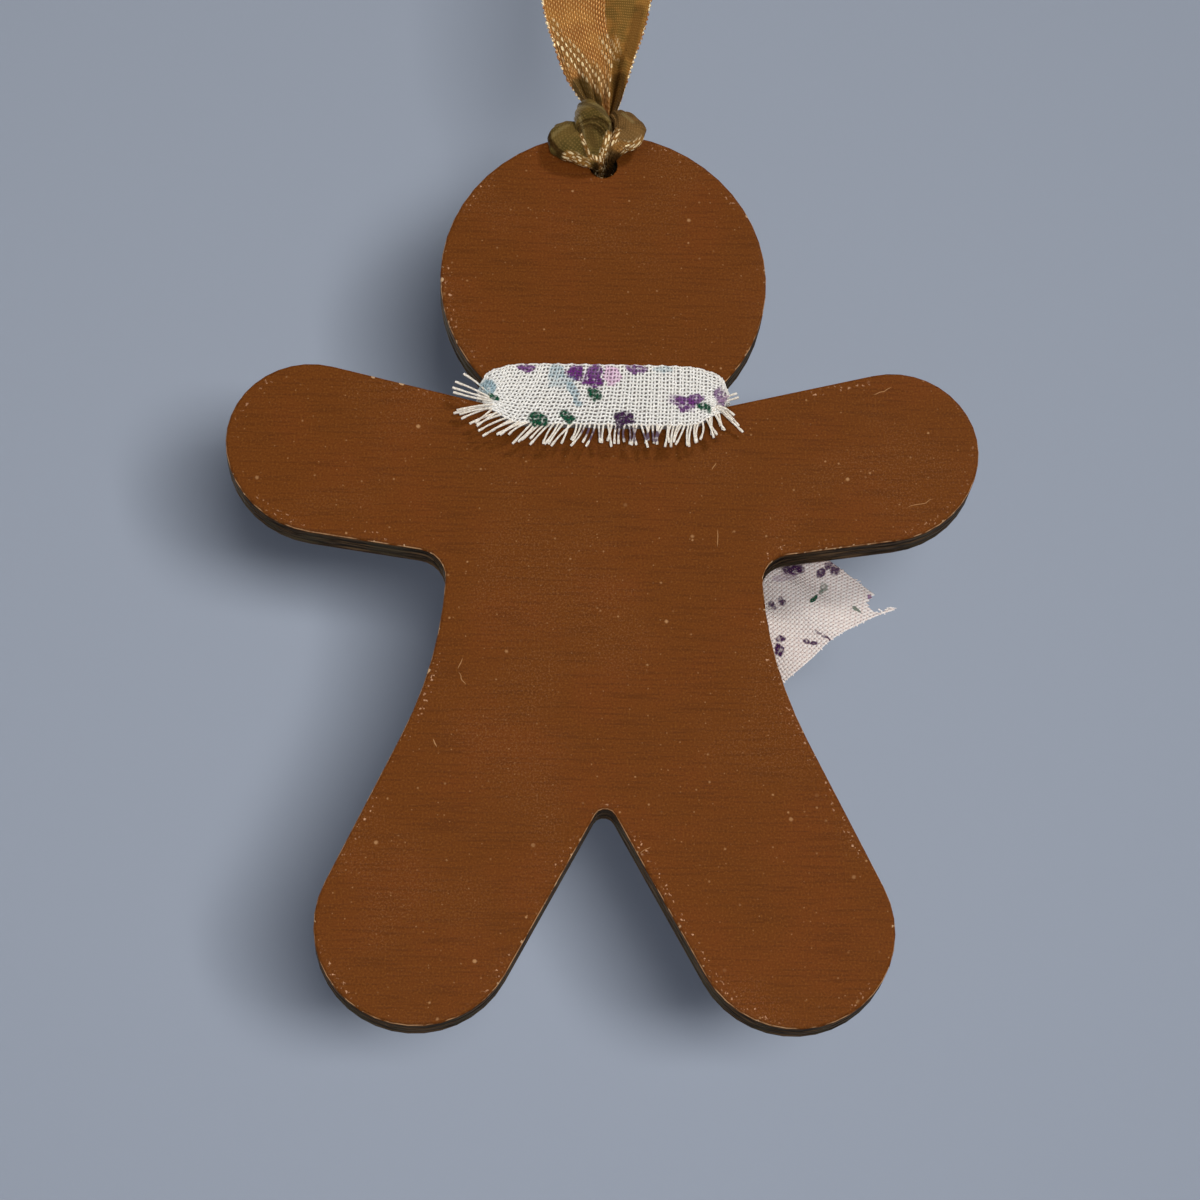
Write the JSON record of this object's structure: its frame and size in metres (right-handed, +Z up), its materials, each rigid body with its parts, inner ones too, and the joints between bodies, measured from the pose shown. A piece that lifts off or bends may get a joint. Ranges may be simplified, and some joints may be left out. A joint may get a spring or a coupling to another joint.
{
  "type": "gingerbread man ornament",
  "caption": "Flat painted plywood figure with a round head, arms and legs, hung on a satin ribbon loop and dressed with a knotted cotton scarf.",
  "frame": {"origin": "the point where the ribbon loop rests on its hook, just under the top knot, on the centre line of the figure", "axes": "+Z up along the ribbon, +X to the right of someone who looks at the plain back, +Y out of the decorated front"},
  "size_m": [0.0816, 0.0116, 0.1858],
  "materials": {
    "brown_paint": "brown stain paint, semi matt, with fine grain, small light chips and worn edges",
    "ply_core": "dark scorched cut edge of the plies",
    "satin_ribbon": "gold satin with woven glints along its ribs and selvedges",
    "cotton_scarf": "white loose plain weave with a small purple and green floral print and frayed edges",
    "icing_paint": "raised off white craft paint, slightly glossy"
  },
  "bodies": {
    "ribbon_top": {"ribbon_upper_front": "satin_ribbon", "ribbon_upper_rear": "satin_ribbon", "ribbon_top_knot": "satin_ribbon", "ribbon_end_left": "satin_ribbon", "ribbon_end_right": "satin_ribbon"},
    "ribbon_lower": {"ribbon_lower_front": "satin_ribbon", "ribbon_lower_rear": "satin_ribbon"},
    "figure": {"back_veneer": "brown_paint", "core_veneer": "ply_core", "front_veneer": "brown_paint", "left_eye": "icing_paint", "right_eye": "icing_paint", "smile": "icing_paint", "upper_button": "icing_paint", "middle_button": "icing_paint", "lower_button": "icing_paint", "ribbon_hitch": "satin_ribbon", "scarf_neck_band": "cotton_scarf", "scarf_knot": "cotton_scarf"},
    "long_tail": {"scarf_long_tail": "cotton_scarf"},
    "short_tail": {"scarf_short_tail": "cotton_scarf"}
  },
  "joints": [
    {"name": "ribbon_twist", "type": "hinge", "parent": "ribbon_top", "child": "ribbon_lower", "pos_m": [0, 0, -0.03], "axis": [0, 0, 1], "range_deg": [-180, 180]},
    {"name": "figure_swing", "type": "hinge", "parent": "ribbon_lower", "child": "figure", "pos_m": [0, 0, -0.06], "axis": [1, 0, 0], "range_deg": [-90, 90]},
    {"name": "long_tail_lift", "type": "hinge", "parent": "figure", "child": "long_tail", "pos_m": [0.00322, 0.00345, -0.10129], "axis": [1, 0, 0], "range_deg": [0, 90]},
    {"name": "short_tail_lift", "type": "hinge", "parent": "figure", "child": "short_tail", "pos_m": [-0.0026, 0.00345, -0.10129], "axis": [1, 0, 0], "range_deg": [0, 90]}
  ]
}
